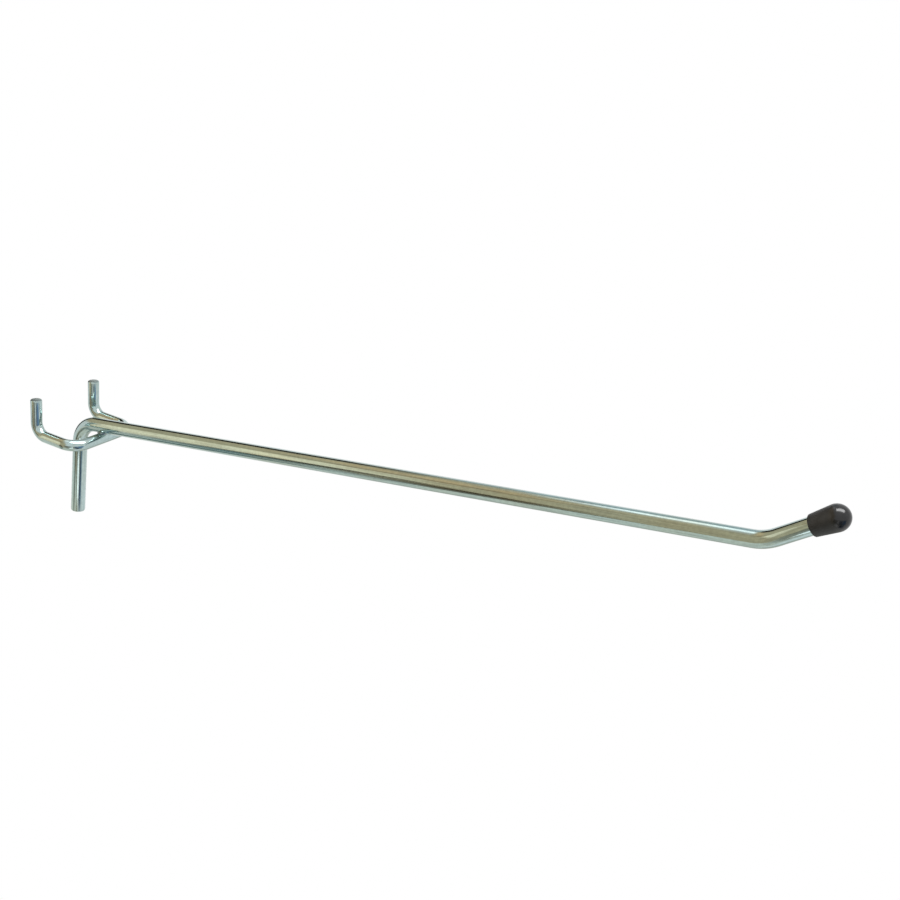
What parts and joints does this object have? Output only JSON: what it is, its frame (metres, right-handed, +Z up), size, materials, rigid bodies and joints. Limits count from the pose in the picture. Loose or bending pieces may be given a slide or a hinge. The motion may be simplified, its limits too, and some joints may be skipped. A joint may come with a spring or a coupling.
{
  "type": "pegboard hook",
  "caption": "Plated steel wire pegboard hook with a long climbing arm, upturned tip under a black push-on cap, and a welded two-prong back wire",
  "frame": {"origin": "on the board's front face, midway between the prongs, at the height where their axes pass through the board", "axes": "+Z up, +Y into the board, whose front face is the plane Y = 0; the arm reaches out along -Y"},
  "size_m": [0.0292, 0.261, 0.0961],
  "materials": {
    "zinc_plated_steel": "bright zinc plate on drawn wire",
    "black_vinyl": "satin dip-moulded vinyl"
  },
  "bodies": {
    "root": {"arm_wire": "zinc_plated_steel", "prong_wire": "zinc_plated_steel", "tip_cap": "black_vinyl"}
  },
  "joints": []
}
